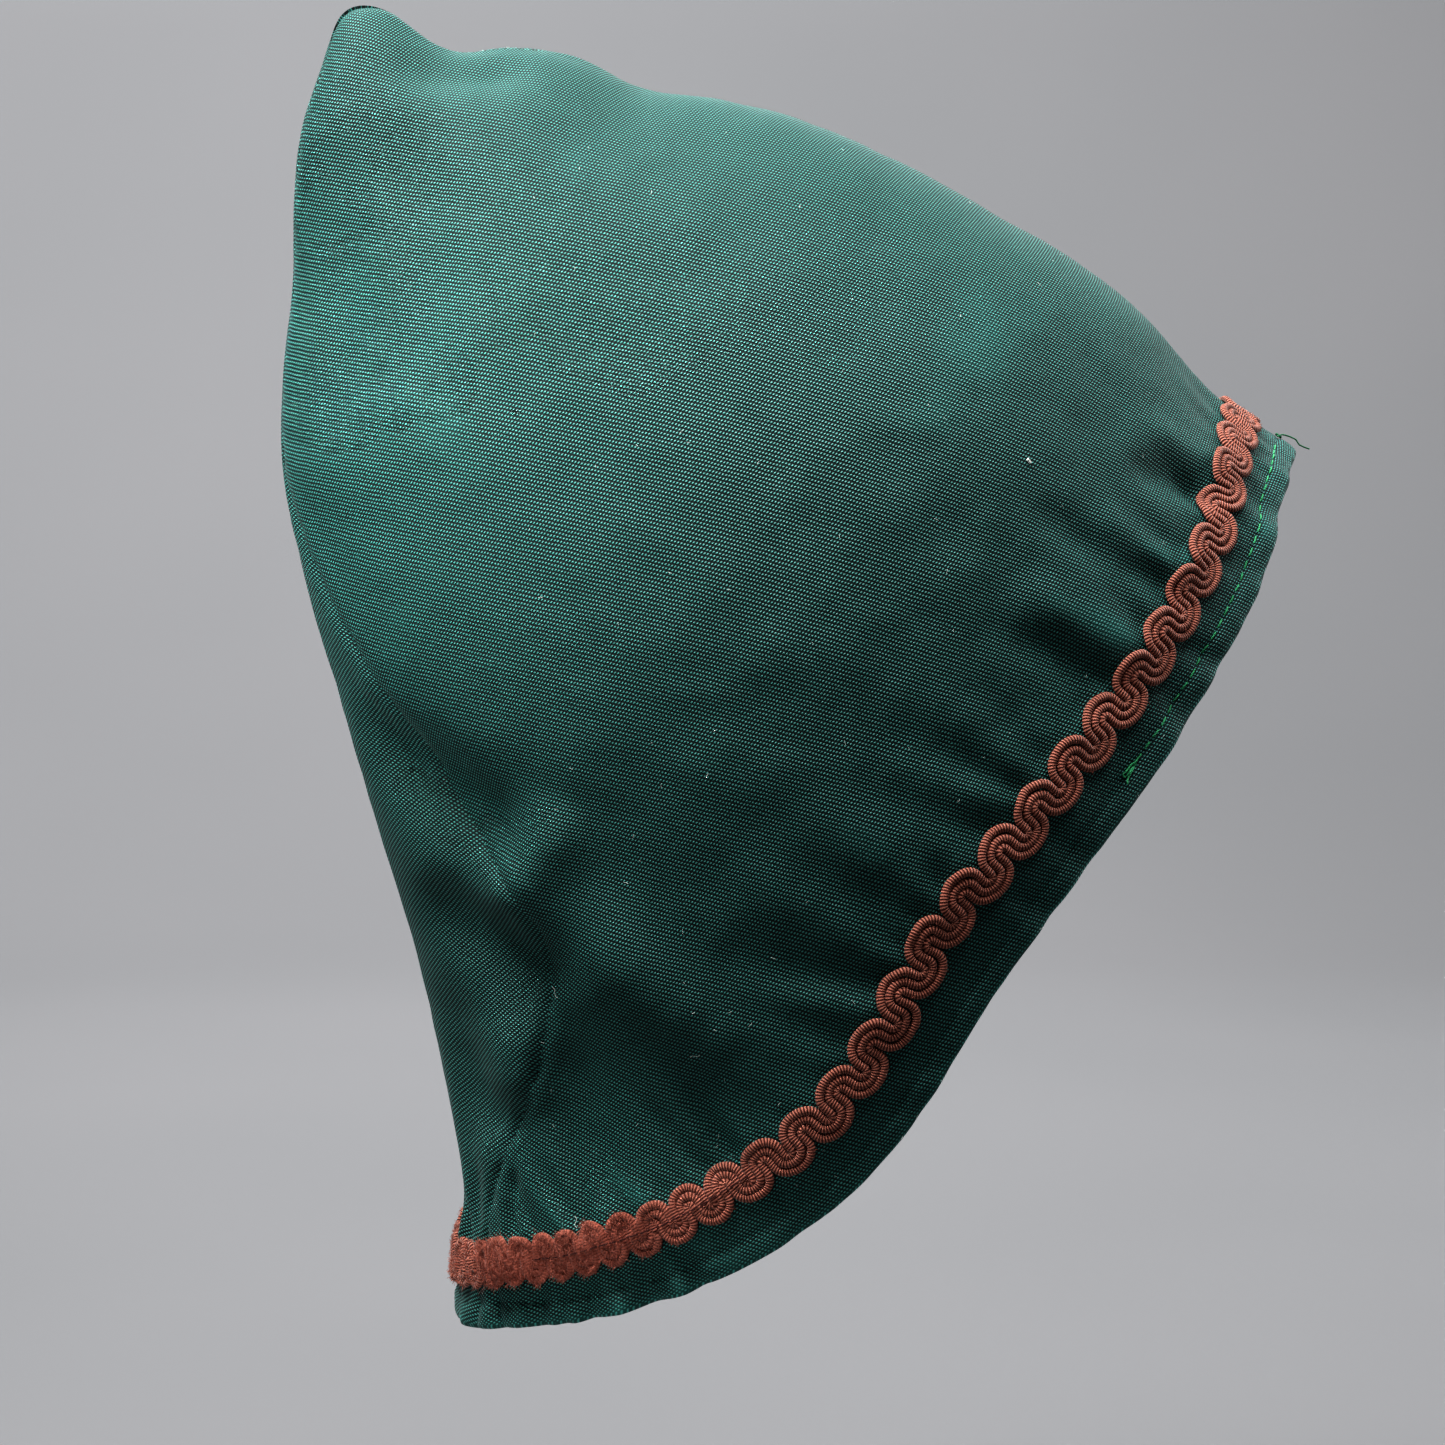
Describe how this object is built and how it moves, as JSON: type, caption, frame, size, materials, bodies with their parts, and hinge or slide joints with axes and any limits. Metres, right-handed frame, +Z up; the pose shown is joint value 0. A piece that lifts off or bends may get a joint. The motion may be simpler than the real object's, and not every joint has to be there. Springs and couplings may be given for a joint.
{
  "type": "pointed hood",
  "caption": "Pointed cloth hood whose curved centre seam runs to a soft peak at the back, with scroll braid along the turned front edge.",
  "frame": {"origin": "inside of the crown on the middle plane, where the hood rests on the top of the head", "axes": "+Z up, -Y the way the face opening looks, -X the wearer's right"},
  "size_m": [0.1607, 0.2788, 0.3414],
  "materials": {
    "green_twill": "matt cotton twill",
    "rust_gimp": "matt wound thread"
  },
  "bodies": {
    "root": {"right_panel": "green_twill", "left_panel": "green_twill", "gimp_braid": "rust_gimp"}
  },
  "joints": []
}
